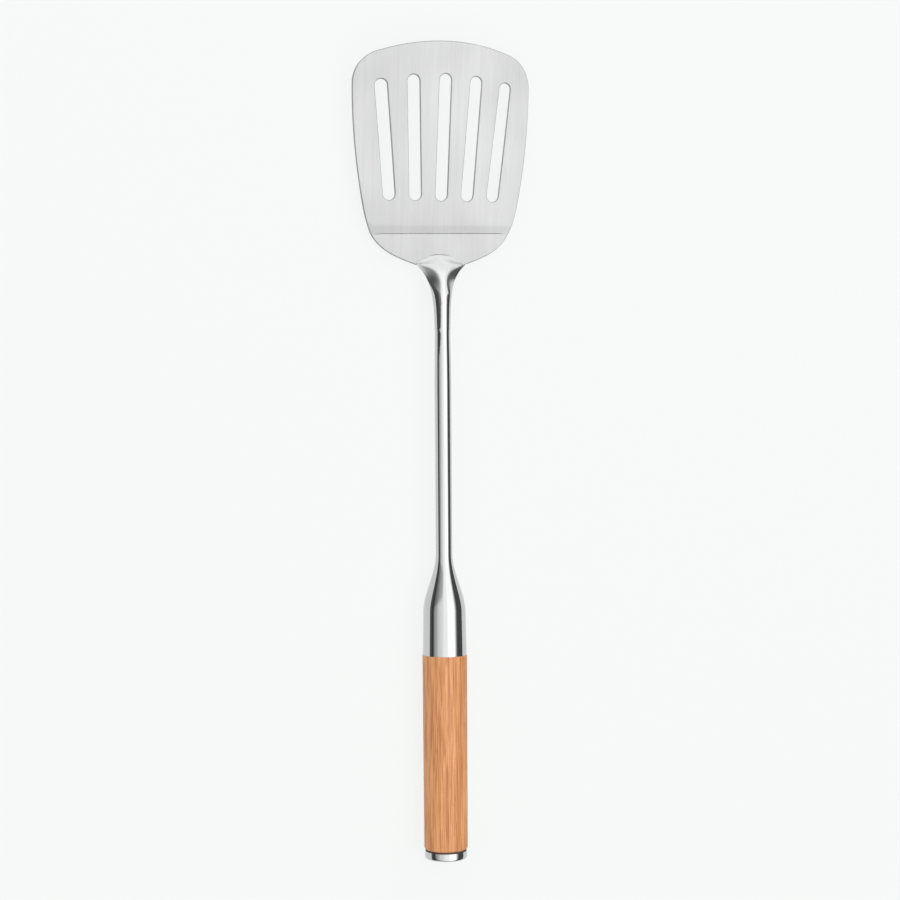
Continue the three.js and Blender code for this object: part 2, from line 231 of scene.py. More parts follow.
def loops_of(mesh):
    """The closed rings of points that the edges of a mesh run through."""
    beside = {}
    for edge in mesh.edges:
        for here, there in (edge.vertices, reversed(edge.vertices)):
            beside.setdefault(here, []).append(there)
    rings = []
    while beside:
        ring = [next(iter(beside))]
        while True:
            onward = [other for other in beside.pop(ring[-1]) if other in beside and other not in ring[-2:]]
            if not onward:
                break
            ring.append(onward[0])
        rings.append(np.array([mesh.vertices[number].co[:2] for number in ring]))
    return rings


slot_rings = loops_of(punch_line.data)
bpy.data.objects.remove(punch_line)

# ---------------------------------------------------------------------------------------------------------
# Blade. A sheet of 1.5 mm stainless steel is blanked with a bowed tip, its edges tumbled round, brushed
# lengthwise, then pressed: it kicks up at a coined crease before the level neck, and arches to the tip.
sheet_gauge = 1.5
edge_round = 0.4
tip_radius = 109.7
side_radius = 289.0
corner_radius = 14.9
shoulder_start = 14.0
shoulder_pull = 17.2
root_pull = 20.2
root_lean = math.radians(18.0)
neck_reach = 14.4
neck_radius = 3.6
neck_drop = 3.7
tongue_half = 12.1
flare_run = 7.1
tail_reach = 23.5
tail_inset = 0.6
tail_step = 1.4
tail_step_run = 2.0
heel_band = 3.3
heel_bend = 1.6
heel_kick = 1.1
blade_arch = 8.6
blade_slope = math.tan(math.radians(9.0))
groove_half = 32.6
groove_bend = 28.6
groove_drop = 0.9
groove_skew = 0.015
weld_line = -9.7
weld_bow = 0.031
weld_half = 7.0


def flare_half(y):
    """Half the width of the trumpet in which the shaft spreads on to the neck."""
    return neck_radius + (tongue_half - neck_radius) * math.exp((neck_reach + y) / flare_run)


def arc(centre, radius, first, last, steps):
    """Points along an arc from one turn to another."""
    for turn in np.linspace(first, last, steps):
        yield centre + radius * np.array((math.cos(turn), math.sin(turn)))


def blade_outline():
    """The blank's edge, from the middle of the tip down the right side and back up the left."""
    tip_centre = np.array((0.0, blade_reach - tip_radius))
    side_centre = np.array((blade_width / 2 - side_radius, widest_reach))
    line = side_centre - tip_centre
    gap = np.linalg.norm(line)
    from_tip = tip_radius - corner_radius
    from_side = side_radius - corner_radius
    forward = (from_tip ** 2 - from_side ** 2 + gap ** 2) / (2 * gap)
    sideways = math.sqrt(from_tip ** 2 - forward ** 2)
    line = line / gap
    corner = tip_centre + line * forward + np.array((line[1], -line[0])) * sideways
    tip_turn = math.atan2(*(corner - tip_centre)[::-1])
    side_turn = math.atan2(*(corner - side_centre)[::-1])
    heel_turn = math.asin((shoulder_start - widest_reach) / side_radius)
    edge = [*arc(tip_centre, tip_radius, math.pi / 2, tip_turn, 40)]
    edge += [*arc(corner, corner_radius, tip_turn, side_turn, 40)][1:]
    edge += [*arc(side_centre, side_radius, side_turn, heel_turn, 70)][1:]
    shoulder = edge[-1]
    root = np.array((tongue_half - tail_inset, -neck_reach))
    below_shoulder = shoulder + shoulder_pull * np.array((math.sin(heel_turn), -math.cos(heel_turn)))
    beside_root = root + root_pull * np.array((math.cos(root_lean), math.sin(root_lean)))
    for t in np.linspace(0.0, 1.0, 60)[1:]:
        u = 1 - t
        edge.append(u ** 3 * shoulder + 3 * u * u * t * below_shoulder
                    + 3 * u * t * t * beside_root + t ** 3 * root)
    for y in np.linspace(-neck_reach, -tail_reach, 20)[1:]:
        inset = tail_inset + tail_step * (1 - math.exp((y + neck_reach) / tail_step_run))
        edge.append(np.array((flare_half(y) - inset, y)))
    mirrored = [point * (-1, 1) for point in reversed(edge[1:])]
    return np.array(edge + mirrored)


def evenly(ring, spacing):
    """The same ring with its points at an even spacing."""
    closed = np.vstack((ring, ring[:1]))
    reach = np.concatenate(((0.0,), np.cumsum(np.linalg.norm(np.diff(closed, axis=0), axis=1))))
    count = round(reach[-1] / spacing)
    marks = np.arange(count) * reach[-1] / count
    return np.column_stack((np.interp(marks, reach, closed[:, 0]), np.interp(marks, reach, closed[:, 1])))


def signed_area(ring):
    """The area inside a ring, below zero where the ring runs clockwise."""
    following = np.roll(ring, -1, axis=0)
    return np.sum(ring[:, 0] * following[:, 1] - ring[:, 1] * following[:, 0]) / 2


def shifted(ring, distance):
    """The ring moved into the steel, which lies to the left of its direction."""
    run = np.roll(ring, -1, axis=0) - np.roll(ring, 1, axis=0)
    run = run / np.linalg.norm(run, axis=1)[:, None]
    return ring + distance * np.column_stack((-run[:, 1], run[:, 0]))


def in_steel(points, rings):
    """Whether each point lies inside the outline and outside the slots."""
    inside = np.zeros(len(points), dtype=bool)
    for ring in rings:
        for (x1, y1), (x2, y2) in zip(ring, np.roll(ring, -1, axis=0)):
            spans = (y1 > points[:, 1]) != (y2 > points[:, 1])
            inside ^= spans & (points[:, 0] < x1 + (points[:, 1] - y1) / ((y2 - y1) or 1.0) * (x2 - x1))
    return inside


def groove_line(x):
    """Where the coined line at the crease lies: a trace askew, its ends turned back towards the neck."""
    share = min(max((abs(x) - groove_bend) / (groove_half - groove_bend), 0.0), 1.0)
    return groove_skew * x - groove_drop * share * share


outline_spacing = 1.0
edge_rings = [evenly(blade_outline(), outline_spacing)] + slot_rings
for number, ring in enumerate(edge_rings):
    if (signed_area(ring) > 0) != (number == 0):
        edge_rings[number] = ring[::-1]
edge_land = 0.25
face_rings = [shifted(ring, edge_round) for ring in edge_rings]
inner_rings = [shifted(ring, edge_round + edge_land) for ring in edge_rings]

# The flat faces are meshed over spots that lie close together where the sheet will be bent or coined.
spot_width, spot_length, heel_step, groove_step = 2.2, 1.9, 0.5, 0.8
groove_rows = (-1.3, -0.9, -0.65, -0.45, -0.3, -0.15, 0.0, 0.15, 0.3, 0.45, 0.65, 0.9, 1.3)
weld_rows = (-0.6, -0.4, -0.25, -0.12, 0.0, 0.12, 0.25, 0.4, 0.6)
clear_of_edge = 0.45
spots = [(x * spot_width + (row % 2) * spot_width / 2, row * spot_length)
         for row in range(-13, 47) for x in range(-20, 21)]
spots += [(x * spot_width, heel_band + step * heel_step) for step in range(-1, 8) for x in range(-18, 19)]
for offset in groove_rows:
    spots += [(x * groove_step, groove_line(x * groove_step) + offset) for x in range(-42, 43)]
for offset in weld_rows:
    spots += [(x, weld_line - weld_bow * x * x + offset) for x in np.linspace(-weld_half, weld_half, 29)]
spots = np.array(spots)
spots = spots[in_steel(spots, inner_rings)]
near_edge = kdtree.KDTree(sum(len(ring) for ring in inner_rings))
for number, point in enumerate(np.vstack(inner_rings)):
    near_edge.insert((*point, 0.0), number)
near_edge.balance()
spots = [spot for spot in spots if near_edge.find((*spot, 0.0))[2] > clear_of_edge]

layout = [Vector(point) for ring in face_rings + inner_rings for point in ring]
layout += [Vector(spot) for spot in spots]
fences = []
first = 0
for ring in face_rings + inner_rings:
    fences += [(first + step, first + (step + 1) % len(ring)) for step in range(len(ring))]
    first += len(ring)
points, _, triangles, sources, _, _ = delaunay_2d_cdt(layout, fences, [], 0, 1e-7)
found = {source: number for number, group in enumerate(sources) for source in group}
middles = np.array([[sum(points[corner][k] for corner in triangle) / 3 for k in (0, 1)]
                    for triangle in triangles])
triangles = [triangle for triangle, kept in zip(triangles, in_steel(middles, face_rings)) if kept]

corners = [(point[0], point[1], 0.0) for point in points]
corners += [(point[0], point[1], -sheet_gauge) for point in points]
faces = [tuple(triangle) for triangle in triangles]
faces += [tuple(corner + len(points) for corner in reversed(triangle)) for triangle in triangles]
round_steps = 4
quarter = [step / round_steps * math.pi / 2 for step in range(1, round_steps + 1)]
rim = [(turn, True) for turn in quarter] + [(turn, False) for turn in reversed(quarter)]
first = 0
for ring, edge in zip(face_rings, edge_rings):
    rows = [[found[first + step] for step in range(len(ring))]]
    for turn, is_upper in rim:
        level = edge_round * (1 - math.cos(turn))
        depth = -level if is_upper else level - sheet_gauge
        rows.append(range(len(corners), len(corners) + len(ring)))
        corners += [(*point, depth) for point in shifted(edge, edge_round * (1 - math.sin(turn)))]
    rows.append([corner + len(points) for corner in rows[0]])
    for upper, lower in zip(rows, rows[1:]):
        for step in range(len(ring)):
            onward = (step + 1) % len(ring)
            faces.append((upper[step], lower[step], lower[onward], upper[onward]))
    first += len(ring)


def closed_mesh(name, corners, faces, crisp=None):
    """A smooth mesh with its faces turned outwards; edges that bend more than crisp degrees stay sharp."""
    shape = bmesh.new()
    points = [shape.verts.new(corner) for corner in corners]
    for face in faces:
        shape.faces.new([points[number] for number in face])
    bmesh.ops.delete(shape, geom=[point for point in shape.verts if not point.link_faces], context="VERTS")
    bmesh.ops.recalc_face_normals(shape, faces=shape.faces)
    for face in shape.faces:
        face.smooth = True
    mesh = bpy.data.meshes.new(name)
    shape.to_mesh(mesh)
    shape.free()
    if crisp:
        mesh.set_sharp_from_angle(angle=math.radians(crisp))
    return mesh


blank = closed_mesh("blade_blank", corners, faces)
map_size = 100
grain_map = blank.uv_layers.new(name="brushing")
for corner in blank.loops:
    x, y, z = blank.vertices[corner.vertex_index].co
    grain_map.data[corner.index].uv = (x / map_size + 0.5, y / map_size + 0.3)
# The rounded rim between the two flat faces is marked here, so that the brushed sheet can paint it darker:
# painted shade along the outline and the slots.
skin = 0.001
rim_shade_mark = blank.attributes.new("rim shade mark", "FLOAT", "POINT")
for number, point in enumerate(blank.vertices):
    rim_shade_mark.data[number].value = float(-sheet_gauge + skin < point.co.z < -skin)


def new_material(name):
    """A new material, its node tree and its main shader."""
    material = bpy.data.materials.new(name)
    material.use_nodes = True
    return material, material.node_tree, material.node_tree.nodes["Principled BSDF"]


def streaks(tree, size, detail):
    """Noise drawn out over the given width, length and height in millimetres."""
    spot = add_node(tree, "ShaderNodeTexCoord")
    stretched = add_node(tree, "ShaderNodeMapping", {
        "Vector": spot.outputs["Object"],
        "Scale": tuple(1 / (length * mm) for length in size),
    })
    noise = add_node(tree, "ShaderNodeTexNoise", {
        "Vector": stretched.outputs[0],
        "Scale": 1.0,
        "Detail": detail,
    })
    return Quantity(tree, noise.outputs[0])


def toned(tree, share, dark, light):
    """A colour between two others."""
    blend = add_node(tree, "ShaderNodeMix", {
        "Factor": share,
        "A": (*dark, 1.0),
        "B": (*light, 1.0),
    }, data_type="RGBA")
    return next(socket for socket in blend.outputs if socket.type == "RGBA")


# The dark colour shows only on the rim, where it is painted shade; the brushed faces keep to the lighter part
# of the range.
brushed_dark_and_rim_shade = (0.42, 0.422, 0.422)
brushed_light = (0.9, 0.903, 0.902)
brushed, tree, shader = new_material("brushed sheet")
fine = streaks(tree, (0.12, 16.0, 3.0), 3.0)
broad = streaks(tree, (1.4, 90.0, 30.0), 2.0)
cloudy = streaks(tree, (22.0, 34.0, 30.0), 1.0)
grain = fine * 0.7 + broad * 0.3
painted_rim_shade = Quantity(tree, add_node(tree, "ShaderNodeAttribute", attribute_name="rim shade mark").outputs["Fac"])
# Painted shade: the marked rim loses most of its tone and turns dark grey.
tone = grain.rise(0.3, 0.7) * 0.16 + cloudy.rise(0.3, 0.7) * 0.12 + 0.7 - painted_rim_shade * 0.7
tangent = add_node(tree, "ShaderNodeTangent", direction_type="UV_MAP", uv_map="brushing")
scratch = add_node(tree, "ShaderNodeBump", {"Strength": 0.12, "Distance": 0.02 * mm, "Height": fine})
connect(tree, shader, {
    "Base Color": toned(tree, tone, brushed_dark_and_rim_shade, brushed_light),
    "Metallic": 1.0,
    "Roughness": fine * 0.12 + 0.5,
    "Anisotropic": 0.9,
    "Tangent": tangent.outputs[0],
    "Normal": scratch.outputs[0],
})

full_climb = blade_reach - heel_band - heel_bend / 2
press_sizes = {
    "Gauge": sheet_gauge,
    "Neck Drop": neck_drop,
    "Heel Band": heel_band,
    "Heel Bend": heel_bend,
    "Heel Slope": heel_kick / heel_band,
    "Blade Slope": blade_slope,
    "Arch Share": blade_arch / full_climb / (blade_width / 2) ** 2,
    "Fold Softness": 0.3,
    "Groove Depth": 0.17,
    "Groove Width": 0.22,
    "Groove Half": groove_half,
    "Groove Bend": groove_bend,
    "Groove Drop": groove_drop,
    "Groove Skew": groove_skew,
    "Weld Line": weld_line,
    "Weld Bow": weld_bow,
    "Weld Core": 3.0,
    "Weld Half": weld_half,
    "Weld Depth": 0.34,
    "Crease": crease,
    "Axis": axis,
}
tree, start, size = tree_with_sizes("press tool", press_sizes)
x, y, z = point_place(tree)
aside = x.apply("ABSOLUTE")
ahead = y - size["Groove Skew"] * x
run = (ahead - size["Heel Band"]).at_least(0.0)
bent = run.at_most(size["Heel Bend"])
climb = run - bent + bent * bent / (size["Heel Bend"] * 2.0)
fold = ((ahead * ahead + size["Fold Softness"] * size["Fold Softness"]).apply("SQRT") + ahead) * 0.5
turn = ((aside - size["Groove Bend"]) / (size["Groove Half"] - size["Groove Bend"])).at_least(0.0)
from_line = (ahead + size["Groove Drop"] * turn * turn) / size["Groove Width"]
coined = (from_line * from_line * -1.0).apply("EXPONENT") * (1.0 - turn.rise(0.75, 1.15))
from_weld = (y - size["Weld Line"] + size["Weld Bow"] * x * x) / size["Groove Width"]
weld_share = 1.0 - aside.rise(size["Weld Core"], size["Weld Half"])
undercut = (from_weld * from_weld * -1.0).apply("EXPONENT") * weld_share
upper = (z + size["Gauge"]) / size["Gauge"]
level = (fold - climb) * size["Heel Slope"] + climb * (size["Blade Slope"] - size["Arch Share"] * x * x)
level = level - size["Neck Drop"] - (coined * size["Groove Depth"] + undercut * size["Weld Depth"]) * upper
formed = add_node(tree, "ShaderNodeCombineXYZ", {
    "X": x * mm,
    "Y": (y + size["Crease"]) * mm,
    "Z": (level + z + size["Axis"]) * mm,
})
pressed = add_node(tree, "GeometryNodeSetPosition", {"Geometry": start, "Position": formed.outputs[0]})
end_tree(tree, pressed.outputs[0], brushed)
blade = worked("spatula_blade", blank, tree, press_sizes)
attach(blade, "root")
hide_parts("blade")

# ---------------------------------------------------------------------------------------------------------
# Shaft. A round steel rod whose front end is forged into a hill that spreads and sinks on to the level neck
# of the blade, welded there and ground, then polished; behind, a thin spigot enters the bolster.
shaft_radius = 3.9
shaft_reach = 149.8
flare_start = -neck_reach - 30.6
taper_start = flare_start - 24.0
tongue_length = 4.5
tongue_tip = tongue_length - neck_reach
bow_start = 34.0
bow_bend = 0.0095
toe_slope = 0.7
toe_blend = 0.3
forged_start, forged_end = -29.0, -20.5
ridge_start = -20.0
ridge_narrow, ridge_wide, ridge_soft = 0.22, 0.36, 0.15
weld_sink = 0.05
foot = -neck_drop - weld_sink
sole = foot - 0.01
spigot_radius = 2.8
spigot_tip = 2.3
spigot_bevel = 0.5
spigot_end = -shaft_reach - 17.0
around = 96


def ease(value, start, end):
    """Climbs smoothly from 0 at start to 1 at end."""
    share = min(max((value - start) / (end - start), 0.0), 1.0)
    return share * share * (3 - 2 * share)


def mix(first, last, share):
    return first + (last - first) * share


def round_back(aside):
    return math.sqrt(max(1 - aside * aside, 0.0))


def ridge(aside, flat):
    """A level top that turns down into straight flanks on both sides."""
    def fall(at):
        return sum((way * at - flat + math.hypot(way * at - flat, ridge_soft)) / 2 for way in (-1, 1))
    return (fall(1.0) - fall(aside)) / (fall(1.0) - fall(0.0))


def feathered(aside):
    """A back that runs out to nothing at both edges."""
    return max(1 - aside * aside, 0.0) ** 1.5


def section(y, half, top, middle, bottom, form=round_back):
    """One section: the back has the given form above the widest line, and half an ellipse lies below it."""
    ring = []
    for step in range(around):
        turn = 2 * math.pi * step / around
        aside, rise = math.cos(turn), math.sin(turn)
        height = (top - middle) * form(aside) if rise > 0 else (middle - bottom) * rise
        ring.append((half * aside, y, middle + height))
    return ring


def rod(y, radius):
    return section(y, radius, radius, 0.0, -radius)


def back_height(y):
    """Height of the shaft's back, which sinks in a bow from the round rod and then slopes down to the lip."""
    bow = neck_radius - bow_bend * max(y + bow_start, 0.0) ** 2
    slope = foot + toe_slope * (tongue_tip - y)
    return (bow + slope) / 2 - math.hypot((bow - slope) / 2, toe_blend)


rings = [rod(spigot_end, spigot_tip), rod(spigot_end + spigot_bevel, spigot_radius)]
rings += [rod(-shaft_reach, spigot_radius), rod(-shaft_reach, shaft_radius)]
rings += [rod(y, shaft_radius) for y in np.linspace(-shaft_reach, taper_start, 12)[1:]]
for y in np.linspace(taper_start, flare_start, 14)[1:]:
    rings.append(rod(y, mix(shaft_radius, neck_radius, ease(y, taper_start, flare_start))))
for y in np.linspace(flare_start, -neck_reach, 70)[1:]:
    root = foot * ((y - flare_start) / (tongue_tip - flare_start)) ** 2
    bottom = mix(-neck_radius, sole, ease(y, flare_start, -tail_reach))
    forged = ease(y, forged_start, forged_end)
    flat = mix(ridge_narrow, ridge_wide, ease(y, ridge_start, -neck_reach))
    rings.append(section(y, flare_half(y), back_height(y), root, bottom,
                         lambda aside: mix(round_back(aside), ridge(aside, flat), forged)))
for share in np.linspace(0.97, 0.05, 32):
    y = mix(-neck_reach + tongue_length, -neck_reach, share ** 2)
    thinned = 1 - ease(share, 0.45, 1.0)
    rings.append(section(y, tongue_half * share, back_height(y), mix(foot, root, share ** 8), sole,
                         lambda aside: mix(ridge(aside, ridge_wide), feathered(aside), thinned)))

corners = [(x * mm, (y + crease) * mm, (z + axis) * mm) for ring in rings for x, y, z in ring]


def skinned(rows, around):
    """Faces that join closed rows of points one to the next, with a cap on the first and the last."""
    faces = [tuple(range(around)), tuple(range((rows - 1) * around, rows * around))]
    for row in range(rows - 1):
        for step in range(around):
            onward = (step + 1) % around
            here, there = row * around, (row + 1) * around
            faces.append((here + step, here + onward, there + onward, there + step))
    return faces


def object_place(tree):
    """Where each spot of a surface lies in the object, in metres."""
    return parts_of(tree, add_node(tree, "ShaderNodeTexCoord").outputs["Object"])


polished_dark = (0.56, 0.564, 0.568)
polished_light = (0.61, 0.612, 0.61)
polished, tree, shader = new_material("polished steel")
fine = streaks(tree, (0.3, 14.0, 0.3), 3.0)
broad = streaks(tree, (2.5, 60.0, 2.5), 2.0)
tone = (fine * 0.5 + broad * 0.5).rise(0.25, 0.75)
ground_neck = (object_place(tree)[1] / mm - crease).rise(-34.0, -20.0)
rubbed = add_node(tree, "ShaderNodeBump", {"Strength": 0.05, "Distance": 0.01 * mm, "Height": fine})
connect(tree, shader, {
    "Base Color": toned(tree, tone, polished_dark, polished_light),
    "Metallic": 1.0,
    "Roughness": fine * 0.05 + 0.05 + ground_neck * 0.16,
    "Normal": rubbed.outputs[0],
})


def piece_of(name, mesh, material, node):
    """Stands a finished mesh in the scene in the place of a node of the solid model."""
    piece = bpy.data.objects.new(name, mesh)
    bpy.context.scene.collection.objects.link(piece)
    mesh.materials.append(material)
    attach(piece, "root")
    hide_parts(node)


crisp_edge = 40
shaft_mesh = closed_mesh("rod_shaft", corners, skinned(len(rings), around), crisp_edge)
piece_of("rod_shaft", shaft_mesh, polished, "shaft")

# ---------------------------------------------------------------------------------------------------------
# Bolster. A thin steel shell drawn to the shape of a bottle: its mouth takes the front of the wooden grip,
# its neck is welded to the shaft, and the weld is ground and polished until no seam shows.
bolster_length = 47.3
bolster_sizes = {
    "Length": bolster_length,
    "Neck Radius": shaft_radius,
    "Shoulder Radius": 10.0,
    "Shoulder Run": 27.5,
    "Mouth Radius": 10.35,
    "Sides": 128,
    "Stations": 110,
    "Front": crease - shaft_reach,
    "Axis": axis,
}
tree, _, size = tree_with_sizes("bottle shell", bolster_sizes)
tube = add_node(tree, "GeometryNodeMeshCylinder", {
    "Vertices": size["Sides"],
    "Side Segments": size["Stations"],
    "Radius": 1.0,
    "Depth": size["Length"],
})
x, y, z = point_place(tree)
back = size["Length"] * 0.5 - z
swell = back.rise(0.0, size["Shoulder Run"])
taper = ((back - size["Shoulder Run"]) / (size["Length"] - size["Shoulder Run"])).at_least(0.0)
radius = size["Neck Radius"] + (size["Shoulder Radius"] - size["Neck Radius"]) * swell
radius = radius + (size["Mouth Radius"] - size["Shoulder Radius"]) * taper
formed = add_node(tree, "ShaderNodeCombineXYZ", {
    "X": x * radius * mm,
    "Y": (size["Front"] - back) * mm,
    "Z": (size["Axis"] + y * radius) * mm,
})
drawn = add_node(tree, "GeometryNodeSetPosition", {
    "Geometry": tube.outputs[0],
    "Position": formed.outputs[0],
})
end_tree(tree, drawn.outputs[0], polished)
bolster = worked("bottle_bolster", bpy.data.meshes.new("bottle_bolster"), tree, bolster_sizes)
bolster.data.flip_normals()
bolster.data.shade_smooth()
bolster.data.set_sharp_from_angle(angle=math.radians(crisp_edge))
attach(bolster, "root")
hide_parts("bolster")

# ---------------------------------------------------------------------------------------------------------
# Hidden fixings. A turned plug in the bolster, a threaded tie rod through the grip, and a washer and a nut
# behind the wood, of plain machined steel: they draw the grip against the bolster, out of sight.
machined_dark = (0.42, 0.42, 0.43)
machined_light = (0.58, 0.58, 0.58)
machined, tree, shader = new_material("machined steel")
turned_lines = streaks(tree, (0.4, 0.08, 0.4), 2.0)
connect(tree, shader, {
    "Base Color": toned(tree, turned_lines.rise(0.3, 0.7), machined_dark, machined_light),
    "Metallic": 1.0,
    "Roughness": turned_lines * 0.2 + 0.25,
})
for node in ("bolster_plug", "tie_rod", "clamp_washer", "clamp_nut"):
    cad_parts[node].material_slots[0].material = machined

# ---------------------------------------------------------------------------------------------------------
# Wooden grip. A turned rod of pale reddish wood, drilled through for the tie rod, sanded and oiled; its
# grain runs lengthwise and its front fits the bolster's mouth.
grip_front = -shaft_reach - bolster_length
grip_length = 92.0
grip_rear = grip_front - grip_length
front_radius = 10.5
front_round = 0.3
rear_radius = 10.25
rear_round = 1.1
grip_bore = 2.8
lathe_sides = 128
lathe_crisp = 35


def turned(name, profile):
    """A closed ring turned round the long axis from pairs of radius and length."""
    corners = []
    for radius, y in profile:
        for step in range(lathe_sides):
            turn = 2 * math.pi * step / lathe_sides
            corners.append((
                radius * math.cos(turn) * mm,
                (y + crease) * mm,
                (radius * math.sin(turn) + axis) * mm,
            ))
    faces = []
    for row in range(len(profile)):
        here, there = row * lathe_sides, (row + 1) % len(profile) * lathe_sides
        for step in range(lathe_sides):
            onward = (step + 1) % lathe_sides
            faces.append((here + step, here + onward, there + onward, there + step))
    return closed_mesh(name, corners, faces, lathe_crisp)


def rounding(radius, y, size, first, last, steps=6):
    """The points of a rounded edge about a centre."""
    turns = np.linspace(math.radians(first), math.radians(last), steps)
    return [(radius + size * math.cos(turn), y + size * math.sin(turn)) for turn in turns]


profile = [(grip_bore, grip_rear), (grip_bore, grip_front)]
profile += rounding(front_radius - front_round, grip_front - front_round, front_round, 90, 0)
for share in np.linspace(0.02, 0.98, 25):
    profile.append((mix(front_radius, rear_radius, share), mix(grip_front, grip_rear, share)))
profile += rounding(rear_radius - rear_round, grip_rear + rear_round, rear_round, 0, -90)

wood_dark = (0.53, 0.197, 0.065)
wood_light = (0.845, 0.404, 0.177)
wood, tree, shader = new_material("oiled wood")
fibre = streaks(tree, (0.35, 14.0, 0.35), 4.0)
figure = streaks(tree, (2.6, 70.0, 2.6), 3.0)
year_lines = streaks(tree, (0.7, 40.0, 0.7), 1.0)
pore = streaks(tree, (0.28, 5.0, 0.28), 1.0).rise(0.66, 0.74)
tone = (fibre * 0.62 + figure * 0.38).rise(0.33, 0.66)
tone = (tone + 0.14 - year_lines.rise(0.48, 0.6) * 0.4 - pore * 0.45).at_least(0.0)
grain = add_node(tree, "ShaderNodeBump", {
    "Strength": 0.35,
    "Distance": 0.08 * mm,
    "Height": fibre - pore * 0.6,
})
connect(tree, shader, {
    "Base Color": toned(tree, tone, wood_dark, wood_light),
    "Roughness": 0.52 - fibre * 0.12 + pore * 0.2,
    "Specular IOR Level": 0.4,
    "Normal": grain.outputs[0],
})
piece_of("wood_grip", turned("wood_grip", profile), wood, "wooden_grip")

# ---------------------------------------------------------------------------------------------------------
# Gasket. A ring of dark fibre board, punched from a sheet and set back a little from the edge: it seals
# the end of the wood, and the steel cap clamps it.
gasket_rear = grip_rear - 0.6
gasket_outer = 9.6
gasket_inner = gasket_outer - 2.4
profile = [(gasket_inner, gasket_rear), (gasket_inner, grip_rear)]
profile += [(gasket_outer, grip_rear), (gasket_outer, gasket_rear)]

fibre_dark = (0.045, 0.035, 0.03)
fibre_light = (0.12, 0.09, 0.075)
fibre_board, tree, shader = new_material("dark fibre")
fleck = streaks(tree, (0.3, 0.3, 0.3), 3.0)
connect(tree, shader, {
    "Base Color": toned(tree, fleck.rise(0.3, 0.7), fibre_dark, fibre_light),
    "Roughness": fleck * 0.2 + 0.7,
})
piece_of("fibre_gasket", turned("fibre_gasket", profile), fibre_board, "cap_gasket")

# ---------------------------------------------------------------------------------------------------------
# End cap. A low polished steel cap with a rounded rim, drawn up against the gasket by the tie rod that
# screws into its boss; it is hollow around the nut.
cap_radius = 10.0
cap_front = gasket_rear
cap_rear = cap_front - 3.7
cap_floor = cap_rear + 1.7
cap_hollow = cap_radius - 1.6
lip_round = 0.15
rim_round = 0.9
pin_hole = 0.02
profile = [(pin_hole, cap_floor), (cap_hollow, cap_floor), (cap_hollow, cap_front)]
profile += rounding(cap_radius - lip_round, cap_front - lip_round, lip_round, 90, 0, 3)
profile += rounding(cap_radius - rim_round, cap_rear + rim_round, rim_round, 0, -90, 8)
profile += [(cap_radius * share, cap_rear) for share in (0.8, 0.6, 0.4, 0.2)] + [(pin_hole, cap_rear)]
piece_of("polished_cap", turned("polished_cap", profile), polished, "end_cap")

# ---------------------------------------------------------------------------------------------------------
# Studio. The spatula lies on a pale table under a wide cloth light, brighter on its right. Black cards and
# white boards stand round the table, and a grey flag and a small board beside the neck. The camera doesn't
# see them: they show only in the polished steel. Lengths are in metres, and angles are seen from the table.
pale = (0.9216, 0.9387, 0.93)
white = (1.0, 1.0, 1.0, 1.0)
table_half = 8
table_level = -5e-5
cloth_height = 1.3


def sheet(name, corners, material):
    """A four-cornered sheet that is only part of the studio."""
    mesh = bpy.data.meshes.new(name)
    mesh.from_pydata(corners, [], [(0, 1, 2, 3)])
    mesh.materials.append(material)
    thing = bpy.data.objects.new(name, mesh)
    bpy.context.scene.collection.objects.link(thing)
    return thing


table, tree, _ = new_material("pale table")
rays = add_node(tree, "ShaderNodeLightPath").outputs
seen = Quantity(tree, rays["Is Camera Ray"]).at_least(Quantity(tree, rays["Is Glossy Ray"]))
seen = seen.at_least(Quantity(tree, rays["Is Transmission Ray"]))
lit = add_node(tree, "ShaderNodeBsdfDiffuse", {"Color": (*(0.1 * part for part in pale), 1.0)})
glow = add_node(tree, "ShaderNodeEmission", {"Color": (*pale, 1.0), "Strength": 0.905})
shown = add_node(tree, "ShaderNodeAddShader", {0: lit.outputs[0], 1: glow.outputs[0]})
plain = add_node(tree, "ShaderNodeBsdfDiffuse", {"Color": (0.8, 0.8, 0.8, 1.0)})
choice = add_node(tree, "ShaderNodeMixShader", {"Fac": seen, 1: plain.outputs[0], 2: shown.outputs[0]})
connect(tree, tree.nodes["Material Output"], {"Surface": choice.outputs[0]})
sheet("table", [
    (-table_half, -table_half, table_level), (table_half, -table_half, table_level),
    (table_half, table_half, table_level), (-table_half, table_half, table_level)], table)

# The cloth's brightness goes by the angle from upright, first sideways and then towards its front and back.
full_light = 2.2
sideways_lights = (
    (-79, 0.06), (-74, 0.32), (-67, 0.52), (-61, 0.58), (-55, 0.71), (-50, 0.89), (-44, 1.02),
    (-33, 1.06), (-27, 1.17), (-23, 1.3), (-17, 1.38), (-10, 1.43), (-6, 1.36), (-2, 1.49),
    (3, 1.64), (9, 2.05), (31, 2.05), (37, 1.56), (42, 1.1), (49, 0.32), (55, 0.06),
)
cloth, tree, _ = new_material("lit cloth")
x, y, _ = object_place(tree)
sideways = x.work("ARCTAN2", x, cloth_height) * (180 / math.pi)
forward = y.work("ARCTAN2", y, cloth_height) * (180 / math.pi)
ramp = add_node(tree, "ShaderNodeValToRGB", {"Fac": (sideways + 90.0) / 180.0})
stops = ramp.color_ramp.elements
for number, (angle, light) in enumerate(sideways_lights):
    stop = stops[number] if number < 2 else stops.new(1.0)
    stop.position = (angle + 90) / 180
    stop.color = (light / full_light, light / full_light, light / full_light, 1.0)
front_fall = forward.rise(-58.0, -30.0) * 0.85 + 0.15
back_left = (sideways * -1.0).rise(16.0, 38.0) * forward.rise(15.0, 32.0) * 0.45
back_end = forward.rise(38.0, 46.0) * sideways.rise(-52.0, -40.0)
strength = Quantity(tree, ramp.outputs[0]) * front_fall * (1.0 - back_left) * full_light
